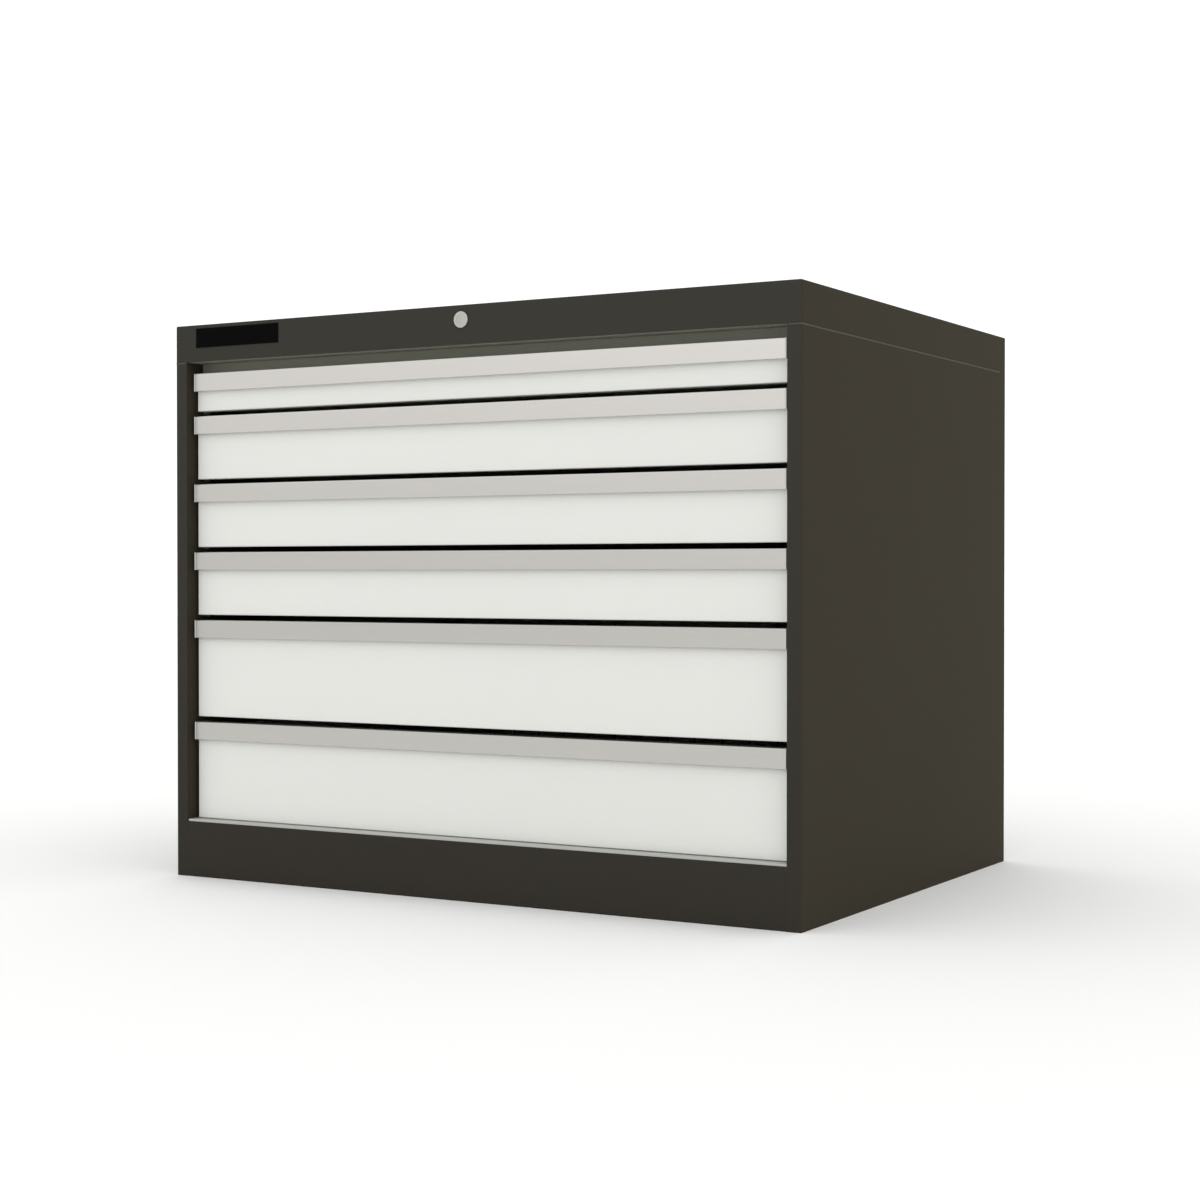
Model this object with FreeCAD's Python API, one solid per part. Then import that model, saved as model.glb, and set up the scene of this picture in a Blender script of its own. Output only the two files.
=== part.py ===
"""Heavy-duty drawer cabinet with six full-extension drawers and a central lock, in millimetres.

X runs to the right along the front, Y to the back and Z up. The origin is on the floor, in the
middle of the footprint. Drawer 1 is the top one.
"""
import FreeCAD
import Part
import math
import os

# Carcass
carcass_width = 1010.0
carcass_depth = 755.0
wall_width = 20.0
carcass_sheet = 1.5
carcass_bend = 2.0
post_edge = 0.15
plinth_height = 81.0
cap_height = 54.0

# The cap stands clear of the side walls, which gives the shadow line below it
cap_gap = 2.0
cap_gap_depth = 2.0
cap_gap_stop = 22.0

# Drawer modules
shallow_module = 75.0
medium_module = 100.0
deep_module = 150.0

# Side wall columns, flanges and floor anchors
front_column_depth = 140.0
upright_width = 100.0
upright_setback = 37.5
hook_row_setback = 77.5
column_slot_pitch = 25.0
column_slot_width = 4.0
column_slot_height = 16.0
wall_rear_flange = 22.0
wall_bottom_flange = 50.0
anchor_inset_x = 30.0
anchor_inset_y = 57.5
anchor_hole_radius = 5.5
passage_clearance = 1.0

# Plinth, floor and deck
ledge_depth = 50.0
plinth_foot = 25.0
pan_flange = 20.0
deck_flange = 12.0
foot_clearance = 0.5
sill_thickness = 3.2
sill_depth = 30.0
sill_edge = 0.8
sill_end_gap = 0.5
top_rail_height = 15.5
top_rail_depth = 30.0
top_rail_clearance = 1.5

# Blank plate on the cap
plate_inset = 39.0
plate_below_top = 5.5
plate_length = 152.0
plate_height = 28.1
plate_thickness = 1.0
plate_edge = 0.3

# Drawer fronts and handles
front_side_gap = 5.7
front_bottom_gap = 3.9
front_top_gap = 3.8
top_drawer_drop = 12.0
front_setback = 18.0
front_depth = 17.0
front_sheet = 1.2
front_bend = 1.5
front_lip = 12.0
handle_height = 26.2
handle_projection = 8.0
handle_wall = 2.0
handle_edge = 1.5
handle_lip_edge = 0.8
handle_leg = 10.0
end_cap_thickness = 2.0
grip_recess = 8.0
grip_cover = 1.0
grip_rise = 6.0

# Drawer trays
tray_sheet = 1.2
tray_lift = 2.1
tray_drop = 5.0
tray_hem = 6.0
tray_corner = 2.0
divider_pitch = 50.0
divider_slot_width = 2.2
divider_slot_margin = 12.0

# Telescopic slides
rail_space = 30.0
rail_height = 42.0
rail_sheet = 1.6
rail_bend = 2.0
rail_setback = 4.5
rail_overlap = 10.0
outer_rail_reach = 20.0
middle_rail_inset = 4.0
middle_rail_reach = 20.0
inner_rail_reach = 20.0
ball_diameter = 3.8
ball_play = 0.1
ball_row_outer = 12.0
ball_row_inner = 17.0
ball_pitch = 50.0
cage_length = 290.0
cage_width = 6.0
cage_thickness = 1.0
cage_inset = 12.0
hook_thickness = 3.0
hook_height = 12.0
hook_drop = 3.0
hook_nose = 3.0
hook_clearance = 0.5
rail_past_hook = 32.0

# Central lock
lock_below_top = 20.2
lock_face_diameter = 22.5
lock_proud = 2.0
lock_face_edge = 0.7
lock_barrel_diameter = 18.5
lock_barrel_length = 30.0
lock_hole_clearance = 0.25
nut_across_flats = 24.0
nut_thickness = 5.0
nut_clearance = 0.1
plug_diameter = 12.0
plug_play = 0.1
plug_recess = 0.3
keyway_width = 1.6
keyway_height = 8.5
keyway_depth = 10.0
tail_square = 7.0
tail_play = 0.1
rivet_diameter = 9.0
rivet_thickness = 1.5
crank_radius = 12.0
cam_hub_radius = 8.0
cam_pin_boss = 5.0
pin_diameter = 5.0
pin_tip = 0.5
fork_clearance = 0.5
slot_clearance = 0.2
bar_thickness = 3.0
bar_width = 12.0
bar_lift = 8.0
bar_behind_front = 2.0
bar_foot = 4.0
finger_height = 5.0
finger_rest = 1.0
catch_rest = 8.0
catch_height = 5.5
catch_thickness = 2.0
catch_wall_gap = 7.0
catch_behind_bar = 2.0
finger_grip = 4.0
slider_gap = 0.5
slider_thickness = 3.0
slider_lift = 5.0
slider_below_rivet = 1.0
slider_end = 8.0
arm_pin_inset = 35.0
arm_half_height = 7.0
guide_clearance = 0.4
guide_wall = 3.5
guide_length = 16.0
guide_side_play = 0.5
slider_guide_outer = 80.0
slider_guide_inner = 38.0

# Places worked out from the sizes above
half_width = carcass_width / 2
front_y = -carcass_depth / 2
back_y = carcass_depth / 2
opening_half = half_width - wall_width
modules = [shallow_module] + 3 * [medium_module] + 2 * [deep_module]
opening_top = plinth_height + sum(modules)
carcass_height = opening_top + cap_height
skin_inside = half_width - carcass_sheet
web_outside = opening_half + carcass_sheet
face_y = front_y + front_setback
front_rear_y = face_y + front_depth
handle_y = face_y - handle_projection
recess_y = face_y + grip_recess
front_half = opening_half - front_side_gap
tray_half = opening_half - rail_space
front_hook_y = front_y + hook_row_setback
upright_y0 = back_y - upright_setback - upright_width
upright_y1 = back_y - upright_setback
rear_hook_y = (upright_y0 + upright_y1) / 2
rail_front_y = front_rear_y + rail_setback
rail_rear_y = rear_hook_y + rail_past_hook
rail_centre = 1.5 * column_slot_pitch
tray_depth = rail_rear_y - rail_front_y - rail_overlap
tray_rear_y = front_rear_y + tray_depth + 2 * tray_sheet
bar_y = front_rear_y + bar_behind_front
slider_y = bar_y + bar_thickness + slider_gap
pin_end_y = slider_y + slider_thickness + pin_tip
bar_centre_x = -(skin_inside + web_outside) / 2
lock_z = carcass_height - lock_below_top
deck_top = opening_top + carcass_sheet
slider_bottom = deck_top + slider_lift
slider_top = lock_z - rivet_diameter / 2 - slider_below_rivet
slider_travel = math.sqrt(2) * crank_radius
arm_pin_x = -half_width + arm_pin_inset
arm_pin_z = (slider_bottom + slider_top - bar_lift) / 2
crank_x = crank_radius * math.sqrt(0.5)
crank_z = lock_z - crank_radius * math.sqrt(0.5)

RIGHT = FreeCAD.Vector(1, 0, 0)
BACK = FreeCAD.Vector(0, 1, 0)
UP = FreeCAD.Vector(0, 0, 1)
PLANES = {"XY": (RIGHT, BACK, UP), "XZ": (RIGHT, UP, BACK), "YZ": (BACK, UP, RIGHT)}


def box(x0, x1, y0, y1, z0, z1):
    """Box between two opposite corners."""
    return Part.makeBox(x1 - x0, y1 - y0, z1 - z0, FreeCAD.Vector(x0, y0, z0))


def rod(radius, y0, y1, x, z):
    """Round bar along Y."""
    return Part.makeCylinder(radius, y1 - y0, FreeCAD.Vector(x, y0, z), BACK)


def mirrored(shape):
    """The same piece on the other side of the middle plane."""
    return shape.mirror(FreeCAD.Vector(0, 0, 0), RIGHT)


def shifted(points, distance, closed):
    """Points of a path moved to its left by a distance, each corner to where the moved runs meet."""
    moved = []
    last = len(points) - 1
    for i, here in enumerate(points):
        before = points[i - 1]
        after = points[(i + 1) % len(points)]
        runs = [(before, here), (here, after)]
        if not closed and i == 0:
            runs = [(here, after)]
        if not closed and i == last:
            runs = [(before, here)]
        normals = []
        for (a0, b0), (a1, b1) in runs:
            length = math.hypot(a1 - a0, b1 - b0)
            normals.append(((b0 - b1) / length, (a1 - a0) / length))
        sum_a = sum(n[0] for n in normals) / len(normals)
        sum_b = sum(n[1] for n in normals) / len(normals)
        scale = distance / (sum_a * sum_a + sum_b * sum_b)
        moved.append((here[0] + scale * sum_a, here[1] + scale * sum_b))
    return moved


def prism(corners, plane, start, stop):
    """Solid whose outline in a plane has corners (a, b, radius), from start to stop across the plane."""
    along_a, along_b, across = PLANES[plane]
    points = [along_a * a + along_b * b + across * start for a, b, _ in corners]
    edges = []
    ends = []
    for i, corner in enumerate(corners):
        here = points[i]
        to_before = (points[i - 1] - here).normalize()
        to_after = (points[(i + 1) % len(points)] - here).normalize()
        half_angle = to_before.getAngle(to_after) / 2
        radius = corner[2]
        reach = radius / math.tan(half_angle)
        entry = here + to_before * reach
        leaving = here + to_after * reach
        ends.append((entry, leaving))
        if radius > 0:
            inward = (to_before + to_after).normalize()
            middle = here + inward * (radius / math.sin(half_angle) - radius)
            edges.append(Part.Arc(entry, middle, leaving).toShape())
    for i, (entry, leaving) in enumerate(ends):
        following = ends[(i + 1) % len(ends)][0]
        if leaving.distanceToPoint(following) > 1e-6:
            edges.append(Part.LineSegment(leaving, following).toShape())
    outline = Part.Wire(Part.__sortEdges__(edges))
    return Part.Face(outline).extrude(across * (stop - start))


def folded_sheet(path, plane, start, stop, sheet, bends):
    """Sheet bent along a path in a plane, its thickness on its left, with the outer radius of each bend."""
    inside = shifted(path, sheet, False)
    path_side = []
    inner_side = []
    for i, (here, there) in enumerate(zip(path, inside)):
        path_radius = 0.0
        inner_radius = 0.0
        if 0 < i < len(path) - 1:
            run_a = (here[0] - path[i - 1][0], here[1] - path[i - 1][1])
            run_b = (path[i + 1][0] - here[0], path[i + 1][1] - here[1])
            turns_left = run_a[0] * run_b[1] - run_a[1] * run_b[0] > 0
            bend = bends[i - 1]
            tight = max(bend - sheet, 0.0)
            path_radius = bend if turns_left else tight
            inner_radius = tight if turns_left else bend
        path_side.append((here[0], here[1], path_radius))
        inner_side.append((there[0], there[1], inner_radius))
    return prism(path_side + inner_side[::-1], plane, start, stop)


def drawer_bays():
    """Number, bottom and top of each drawer's bay, and the top of its handle, from the top down."""
    top = opening_top
    bays = []
    for number, module in enumerate(modules, 1):
        drop = top_drawer_drop if number == 1 else 0.0
        bays.append((number, top - module, top, top - front_top_gap - drop))
        top = top - module
    return bays


def column_slot_heights():
    """Heights of the slots in the columns, counted up from the bottom of each drawer's bay."""
    heights = []
    for _, bottom, top, _ in drawer_bays():
        height = bottom + column_slot_pitch / 2
        while height + column_slot_height / 2 < top:
            heights.append(height)
            height += column_slot_pitch
    return heights


def column_slots(centre_y):
    """Cutters for one row of slots through a column of the left wall."""
    half = column_slot_height / 2
    y0 = centre_y - column_slot_width / 2
    y1 = centre_y + column_slot_width / 2
    x0 = -web_outside - passage_clearance
    x1 = -opening_half + passage_clearance
    return [box(x0, x1, y0, y1, z - half, z + half) for z in column_slot_heights()]


def bar_passage(z0, z1):
    """Cutter that lets the lock bar through a sheet between two heights."""
    x0 = bar_centre_x - bar_width / 2 - passage_clearance
    x1 = bar_centre_x + bar_width / 2 + passage_clearance
    y0 = bar_y - passage_clearance
    y1 = bar_y + bar_thickness + passage_clearance
    return box(x0, x1, y0, y1, z0, z1)


def side_panel():
    """Left wall: one sheet folded round the post and back into the slotted front column."""
    path = [
        (-half_width + wall_rear_flange, back_y),
        (-half_width, back_y),
        (-half_width, front_y),
        (-opening_half, front_y),
        (-opening_half, front_y + front_column_depth),
    ]
    bends = [carcass_bend, carcass_bend, post_edge]
    wall = folded_sheet(path, "XY", 0, opening_top, carcass_sheet, bends)
    column_rear = front_y + front_column_depth
    leg = box(-skin_inside, -opening_half, column_rear - carcass_sheet, column_rear, 0, opening_top)
    gap_floor = opening_top - cap_gap
    gap_end = back_y - cap_gap_stop
    shadow_gap = box(-half_width - 1, -web_outside, front_y - 1, gap_end, gap_floor, opening_top + 1)
    inner_y = back_y - carcass_sheet
    top_flange = box(-skin_inside, -web_outside, front_y + carcass_sheet, inner_y - carcass_sheet,
                     gap_floor - carcass_sheet, gap_floor)
    bottom_flange = box(-skin_inside, -half_width + wall_bottom_flange, front_y + carcass_bend,
                        inner_y, 0, carcass_sheet)
    upright_room = box(-skin_inside, -opening_half, upright_y0 - passage_clearance,
                       upright_y1 + passage_clearance, carcass_sheet, opening_top)
    packing = box(-half_width + cap_gap_depth, -web_outside, front_y + cap_gap_depth, gap_end,
                  gap_floor, opening_top)
    panel = wall.fuse([leg, top_flange, bottom_flange]).cut(shadow_gap).fuse(packing)
    top_layers = top_flange.fuse(packing)
    cutters = [upright_room.common(top_layers)]
    cutters += column_slots(front_hook_y)
    for y in (front_y + anchor_inset_y, back_y - anchor_inset_y):
        place = FreeCAD.Vector(-half_width + anchor_inset_x, y, -carcass_sheet)
        cutters.append(Part.makeCylinder(anchor_hole_radius, 3 * carcass_sheet, place, UP))
    return panel.cut(cutters).removeSplitter()


def finger_slots():
    """Cutters in the left front column for the fingers of the lock bar."""
    slots = []
    for _, bottom, _, _ in drawer_bays():
        z0 = bottom + finger_rest - slot_clearance
        z1 = bottom + finger_rest + finger_height + bar_lift + passage_clearance
        slots.append(box(-web_outside - 1, -opening_half + 1, bar_y - passage_clearance,
                         bar_y + bar_thickness + passage_clearance, z0, z1))
    return slots


def rear_upright():
    """Left rear column, a channel with one row of slots."""
    path = [
        (-skin_inside, upright_y0),
        (-opening_half, upright_y0),
        (-opening_half, upright_y1),
        (-skin_inside, upright_y1),
    ]
    column = folded_sheet(path, "XY", carcass_sheet, opening_top, carcass_sheet, 2 * [carcass_bend])
    return column.cut(column_slots(rear_hook_y))


def back_panel():
    """Rear wall, inside the rear flanges of the side walls and clear of their bends."""
    reach = half_width - carcass_bend
    return box(-reach, reach, back_y - 2 * carcass_sheet, back_y - carcass_sheet, carcass_sheet, opening_top)


def plinth_front():
    """Kickboard, folded back at the top into the ledge and at the bottom into a foot."""
    path = [
        (front_y + plinth_foot, 0),
        (front_y, 0),
        (front_y, plinth_height),
        (front_y + ledge_depth, plinth_height),
    ]
    reach = half_width - wall_bottom_flange - foot_clearance
    sheet = folded_sheet(path[::-1], "YZ", -opening_half, opening_half, carcass_sheet, 2 * [carcass_bend])
    foot_end = box(reach, opening_half, front_y + carcass_bend, front_y + plinth_foot, 0, carcass_sheet)
    return sheet.cut([foot_end, mirrored(foot_end)])


def sill_strip():
    """Moulded strip on the ledge, just under the lowest drawer."""
    reach = opening_half - sill_end_gap
    y0 = front_y + carcass_bend
    y1 = y0 + sill_depth
    top = plinth_height + sill_thickness
    corners = [(y0, plinth_height, 0.0), (y1, plinth_height, 0.0), (y1, top, 0.0), (y0, top, sill_edge)]
    return prism(corners, "YZ", -reach, reach)


def base_pan():
    """Floor of the carcass, under the ledge, with its edges turned down on the two sides."""
    z1 = plinth_height - carcass_sheet
    path = [
        (opening_half, z1 - pan_flange),
        (opening_half, z1),
        (-opening_half, z1),
        (-opening_half, z1 - pan_flange),
    ]
    return folded_sheet(path, "XZ", front_y + carcass_bend, back_y - 2 * carcass_sheet,
                        carcass_sheet, 2 * [carcass_bend])


def top_cap():
    """Folded cap, open below, with the hole for the lock in its fascia."""
    outer = box(-half_width, half_width, front_y, back_y, opening_top, carcass_height)
    rounded = [edge for edge in outer.Edges if edge.BoundBox.ZMax > opening_top + 1]
    outer = outer.makeFillet(carcass_bend, rounded)
    hollow = box(-skin_inside, skin_inside, front_y + carcass_sheet, back_y - carcass_sheet,
                 opening_top - 1, carcass_height - carcass_sheet)
    hole_radius = lock_barrel_diameter / 2 + lock_hole_clearance
    lock_hole = rod(hole_radius, front_y - 1, front_y + carcass_sheet + 1, 0, lock_z)
    return outer.cut([hollow, lock_hole])


def top_deck():
    """Sheet that closes the cap from below, with upturned edges and the way up for the lock bar."""
    y0 = front_y + carcass_sheet
    y1 = back_y - carcass_sheet
    pan = box(-skin_inside, skin_inside, y0, y1, opening_top, deck_top + deck_flange)
    hollow = box(-skin_inside + carcass_sheet, skin_inside - carcass_sheet, y0 + carcass_sheet,
                 y1 - carcass_sheet, deck_top, deck_top + deck_flange + 1)
    return pan.cut([hollow, bar_passage(opening_top - 1, deck_top + 1)])


def top_rail():
    """Channel welded under the deck behind the fascia, which closes the slot above the top drawer."""
    y0 = front_rear_y + top_rail_clearance
    y1 = y0 + top_rail_depth
    low = opening_top - top_rail_height
    path = [(y0, opening_top), (y0, low), (y1, low), (y1, opening_top)]
    return folded_sheet(path, "YZ", -opening_half, opening_half, carcass_sheet, 2 * [carcass_bend])


def nameplate():
    """Blank plate glued to the left end of the cap's fascia."""
    x0 = -half_width + plate_inset
    z1 = carcass_height - plate_below_top
    face_edge = front_y - plate_thickness
    plate = box(x0, x0 + plate_length, face_edge, front_y, z1 - plate_height, z1)
    rim = [edge for edge in plate.Edges if edge.BoundBox.YMax < face_edge + 0.01]
    return plate.makeFillet(plate_edge, rim)


def front_panel(bottom, handle_top):
    """Folded front, stepped back behind the handle for the fingers, with lips round its open back."""
    top = handle_top - handle_wall
    step = handle_top - handle_height + grip_cover
    corners = [
        (face_y, bottom),
        (front_rear_y, bottom),
        (front_rear_y, top),
        (recess_y, top),
        (recess_y, step + grip_rise),
        (face_y, step),
    ]
    shell = prism([(y, z, 0.0) for y, z in corners], "YZ", -front_half, front_half)
    visible = [edge for edge in shell.Edges if edge.BoundBox.YMax < face_y + 0.01
               and edge.BoundBox.ZMin < step - 0.01]
    shell = shell.makeFillet(front_bend, visible)
    hollow = prism([(y, z, 0.0) for y, z in shifted(corners, front_sheet, True)], "YZ",
                   -front_half + front_sheet, front_half - front_sheet)
    window = box(-front_half + front_lip, front_half - front_lip, front_rear_y - 2 * front_sheet,
                 front_rear_y + 1, bottom + front_lip, top - front_lip)
    return shell.cut([hollow, window])


def handle(handle_top):
    """Aluminium profile that caps the front, with a face to pull and a leg for its rivets."""
    under = handle_top - handle_wall
    lip = handle_top - handle_height
    corners = [
        (handle_y, lip, handle_lip_edge),
        (handle_y, handle_top, handle_edge),
        (front_rear_y, handle_top, 0.0),
        (front_rear_y, under, 0.0),
        (recess_y, under, 0.0),
        (recess_y, under - handle_leg, 0.0),
        (recess_y - handle_wall, under - handle_leg, 0.0),
        (recess_y - handle_wall, under, 0.0),
        (handle_y + handle_wall, under, handle_edge),
        (handle_y + handle_wall, lip, handle_lip_edge),
    ]
    reach = front_half - end_cap_thickness
    return prism(corners, "YZ", -reach, reach)


def end_cap(handle_top):
    """Moulded plate that closes the right end of the handle down to its lower edge."""
    under = handle_top - handle_wall
    lip = handle_top - handle_height
    corners = [
        (handle_y, lip, handle_lip_edge),
        (handle_y, handle_top, handle_edge),
        (front_rear_y, handle_top, 0.0),
        (front_rear_y, under, 0.0),
        (recess_y, under, 0.0),
        (recess_y, lip + grip_cover + grip_rise, 0.0),
        (face_y, lip + grip_cover, 0.0),
        (face_y, lip, 0.0),
    ]
    return prism(corners, "YZ", front_half - end_cap_thickness, front_half)


def tray(bottom, top):
    """Sheet steel tray with hemmed rims and rows of slots for dividers."""
    outer = box(-tray_half, tray_half, front_rear_y, tray_rear_y, bottom, top)
    corners = [edge for edge in outer.Edges if edge.BoundBox.ZLength > top - bottom - 1]
    outer = outer.makeFillet(tray_corner, corners)
    half = tray_half - tray_sheet
    y0 = front_rear_y + tray_sheet
    y1 = tray_rear_y - tray_sheet
    hollow = box(-half, half, y0, y1, bottom + tray_sheet, top - tray_sheet)
    mouth = box(-half + tray_hem, half - tray_hem, y0 + tray_hem, y1 - tray_hem,
                top - 2 * tray_sheet, top + 1)
    cutters = [hollow, mouth]
    z0 = bottom + divider_slot_margin
    z1 = top - divider_slot_margin
    slot = divider_slot_width / 2
    columns = int((half - divider_slot_margin) // divider_pitch)
    for i in range(-columns, columns + 1):
        x = i * divider_pitch
        cutters.append(box(x - slot, x + slot, front_rear_y - 1, tray_rear_y + 1, z0, z1))
    middle_y = (y0 + y1) / 2
    rows = int((tray_depth / 2 - divider_slot_margin) // divider_pitch)
    for i in range(-rows, rows + 1):
        y = middle_y + i * divider_pitch
        cutters.append(box(-tray_half - 1, tray_half + 1, y - slot, y + slot, z0, z1))
    return outer.cut(cutters)


def lock_catch(bottom):
    """Plate riveted to the left side of a tray, which a finger of the lock bar stops."""
    y0 = bar_y + bar_thickness + catch_behind_bar
    return box(-opening_half + catch_wall_gap, -tray_half, y0, y0 + catch_thickness,
               bottom + catch_rest, bottom + catch_rest + catch_height)


def rail_levels():
    """Half heights of the outer, middle and inner rail, each nested inside the last by a ball gap."""
    ball_gap = ball_diameter + 2 * ball_play
    outer = rail_height / 2
    middle = outer - rail_sheet - ball_gap
    inner = middle - rail_sheet - ball_gap
    return outer, middle, inner


def channel(web, lip, centre, half):
    """Left rail: a channel whose web is at one distance from the wall and whose flanges reach another."""
    path = [
        (-opening_half + lip, centre + half),
        (-opening_half + web, centre + half),
        (-opening_half + web, centre - half),
        (-opening_half + lip, centre - half),
    ]
    if web > lip:
        path = path[::-1]
    return folded_sheet(path, "XZ", rail_front_y, rail_rear_y, rail_sheet, 2 * [rail_bend])


def rail_hook(hook_y, centre):
    """Hook on an outer rail that goes through a column slot and hangs behind the column."""
    wall = carcass_sheet + hook_clearance
    y0 = hook_y - hook_thickness / 2
    y1 = hook_y + hook_thickness / 2
    low = centre - (hook_height - hook_drop) / 2
    shank = box(-opening_half - wall - hook_nose, -opening_half + rail_sheet / 2, y0, y1,
                low, low + hook_height - hook_drop)
    nose = box(-opening_half - wall - hook_nose, -opening_half - wall, y0, y1,
               low - hook_drop, low + hook_height - hook_drop)
    return shank.fuse(nose)


def outer_rail(centre):
    """Left fixed rail with its two hooks."""
    rail = channel(0.0, outer_rail_reach, centre, rail_levels()[0])
    return rail.fuse([rail_hook(front_hook_y, centre), rail_hook(rear_hook_y, centre)])


def middle_rail(centre):
    """Left intermediate rail."""
    lip = middle_rail_inset + middle_rail_reach
    return channel(middle_rail_inset, lip, centre, rail_levels()[1])


def inner_rail(centre):
    """Left rail on the tray."""
    return channel(rail_space, rail_space - inner_rail_reach, centre, rail_levels()[2])


def ball_strip(row, centre, y0):
    """One cage with its balls, in the gap between two flanges of the left rails."""
    x = -opening_half + row
    half = cage_thickness / 2
    cage = box(x - cage_width / 2, x + cage_width / 2, y0, y0 + cage_length, centre - half, centre + half)
    count = int(cage_length // ball_pitch) + 1
    first = y0 + (cage_length - (count - 1) * ball_pitch) / 2
    balls = []
    for i in range(count):
        place = FreeCAD.Vector(x, first + i * ball_pitch, centre)
        balls.append(Part.makeSphere(ball_diameter / 2, place))
    return cage.fuse(balls)


def ball_strips(centre):
    """Four cages of the left slide: two ahead on the inner rail, two behind in the outer rail."""
    outer, middle, inner = rail_levels()
    outer_level = (outer - rail_sheet + middle) / 2
    inner_level = (middle - rail_sheet + inner) / 2
    ahead = rail_front_y + cage_inset
    behind = rail_rear_y - cage_inset - cage_length
    strips = []
    for side in (1, -1):
        strips.append(ball_strip(ball_row_outer, centre + side * outer_level, behind))
        strips.append(ball_strip(ball_row_inner, centre + side * inner_level, ahead))
    return strips


def lock_housing():
    """Fixed barrel of the lock with its round face."""
    face = rod(lock_face_diameter / 2, front_y - lock_proud, front_y, 0, lock_z)
    rim = [edge for edge in face.Edges if edge.BoundBox.YMax < front_y - lock_proud + 0.01]
    face = face.makeFillet(lock_face_edge, rim)
    barrel = rod(lock_barrel_diameter / 2, front_y, front_y + lock_barrel_length, 0, lock_z)
    bore = rod(plug_diameter / 2 + plug_play, front_y - lock_proud - 1,
               front_y + lock_barrel_length + 1, 0, lock_z)
    return face.fuse(barrel).cut(bore).removeSplitter()


def lock_nut():
    """Hexagon nut that clamps the lock against the fascia."""
    y0 = front_y + carcass_sheet
    corner = nut_across_flats / math.sqrt(3)
    corners = []
    for i in range(6):
        angle = math.radians(60 * i)
        corners.append((corner * math.cos(angle), lock_z + corner * math.sin(angle), 0.0))
    nut = prism(corners, "XZ", y0, y0 + nut_thickness)
    return nut.cut(rod(lock_barrel_diameter / 2 + nut_clearance, y0 - 1, y0 + nut_thickness + 1, 0, lock_z))


def lock_plug():
    """Turning core with the keyway, a square tail for the cam and the rivet head behind it."""
    face = front_y - lock_proud + plug_recess
    core = rod(plug_diameter / 2, face, bar_y, 0, lock_z)
    half = tail_square / 2
    tail = box(-half, half, bar_y, bar_y + bar_thickness, lock_z - half, lock_z + half)
    head_y = bar_y + bar_thickness
    head = rod(rivet_diameter / 2, head_y, head_y + rivet_thickness, 0, lock_z)
    keyway = box(-keyway_width / 2, keyway_width / 2, face - 1, face + keyway_depth,
                 lock_z - keyway_height / 2, lock_z + keyway_height / 2)
    return core.fuse([tail, head]).cut(keyway)


def lock_cam():
    """Crank on the plug's tail with the pin that pushes the slider."""
    y1 = bar_y + bar_thickness
    hub = rod(cam_hub_radius, bar_y, y1, 0, lock_z)
    boss = rod(cam_pin_boss, bar_y, y1, crank_x, crank_z)
    arm = box(-cam_pin_boss, cam_pin_boss, bar_y, y1, lock_z - crank_radius, lock_z)
    arm.rotate(FreeCAD.Vector(0, 0, lock_z), BACK, -45)
    pin = rod(pin_diameter / 2, y1, pin_end_y, crank_x, crank_z)
    half = tail_square / 2 + tail_play
    square = box(-half, half, bar_y - 1, y1 + 1, lock_z - half, lock_z + half)
    return hub.fuse([boss, arm, pin]).cut(square).removeSplitter()


def slanted_slot():
    """Cutter in the slider that lifts the bar's pin as the slider moves to the left."""
    radius = pin_diameter / 2 + slot_clearance
    y0 = slider_y - 1
    y1 = slider_y + slider_thickness + 1
    length = math.hypot(slider_travel, bar_lift)
    start = rod(radius, y0, y1, arm_pin_x, arm_pin_z)
    stop = rod(radius, y0, y1, arm_pin_x + slider_travel, arm_pin_z + bar_lift)
    run = box(0, length, y0, y1, -radius, radius)
    run.rotate(FreeCAD.Vector(0, 0, 0), BACK, -math.degrees(math.atan2(bar_lift, slider_travel)))
    run.translate(FreeCAD.Vector(arm_pin_x, 0, arm_pin_z))
    return start.fuse([stop, run])


def lock_slider():
    """Flat bar in the cap: a fork on the crank pin at one end, the slanted slot at the other."""
    y1 = slider_y + slider_thickness
    fork_half = pin_diameter / 2 + fork_clearance
    fork_bottom = lock_z - crank_radius - fork_half
    right_end = crank_x + fork_half + slider_end
    bar = box(arm_pin_x - slider_end, right_end, slider_y, y1, slider_bottom, slider_top)
    fork = box(crank_x - fork_half, crank_x + fork_half, slider_y - 1, y1 + 1,
               fork_bottom, slider_top + 1)
    return bar.cut([fork, slanted_slot()])


def lock_bar():
    """Flat strip in the left wall, with an arm and its pin in the cap and a finger for each drawer."""
    y1 = bar_y + bar_thickness
    x0 = bar_centre_x - bar_width / 2
    x1 = bar_centre_x + bar_width / 2
    arm_bottom = arm_pin_z - arm_half_height
    arm_top = arm_pin_z + arm_half_height
    strip = box(x0, x1, bar_y, y1, plinth_height + finger_rest - bar_foot, arm_top)
    arm = box(x1, arm_pin_x + arm_half_height, bar_y, y1, arm_bottom, arm_top)
    pin = rod(pin_diameter / 2, y1, pin_end_y, arm_pin_x, arm_pin_z)
    tip = -opening_half + catch_wall_gap + finger_grip
    solids = [strip, arm, pin]
    for _, bottom, _, _ in drawer_bays():
        z0 = bottom + finger_rest
        solids.append(box(x1, tip, bar_y, y1, z0, z0 + finger_height))
    return solids


def bar_guide(centre):
    """Moulded block in the left wall that the lock bar slides through."""
    half_bar = bar_width / 2 + guide_clearance
    y0 = bar_y - guide_clearance
    y1 = bar_y + bar_thickness + guide_clearance
    half = guide_length / 2
    block = box(-skin_inside, -web_outside - guide_side_play, y0 - guide_wall, y1 + guide_wall,
                centre - half, centre + half)
    hole = box(bar_centre_x - half_bar, bar_centre_x + half_bar, y0, y1, centre - half - 1, centre + half + 1)
    return block.cut(hole)


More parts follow.
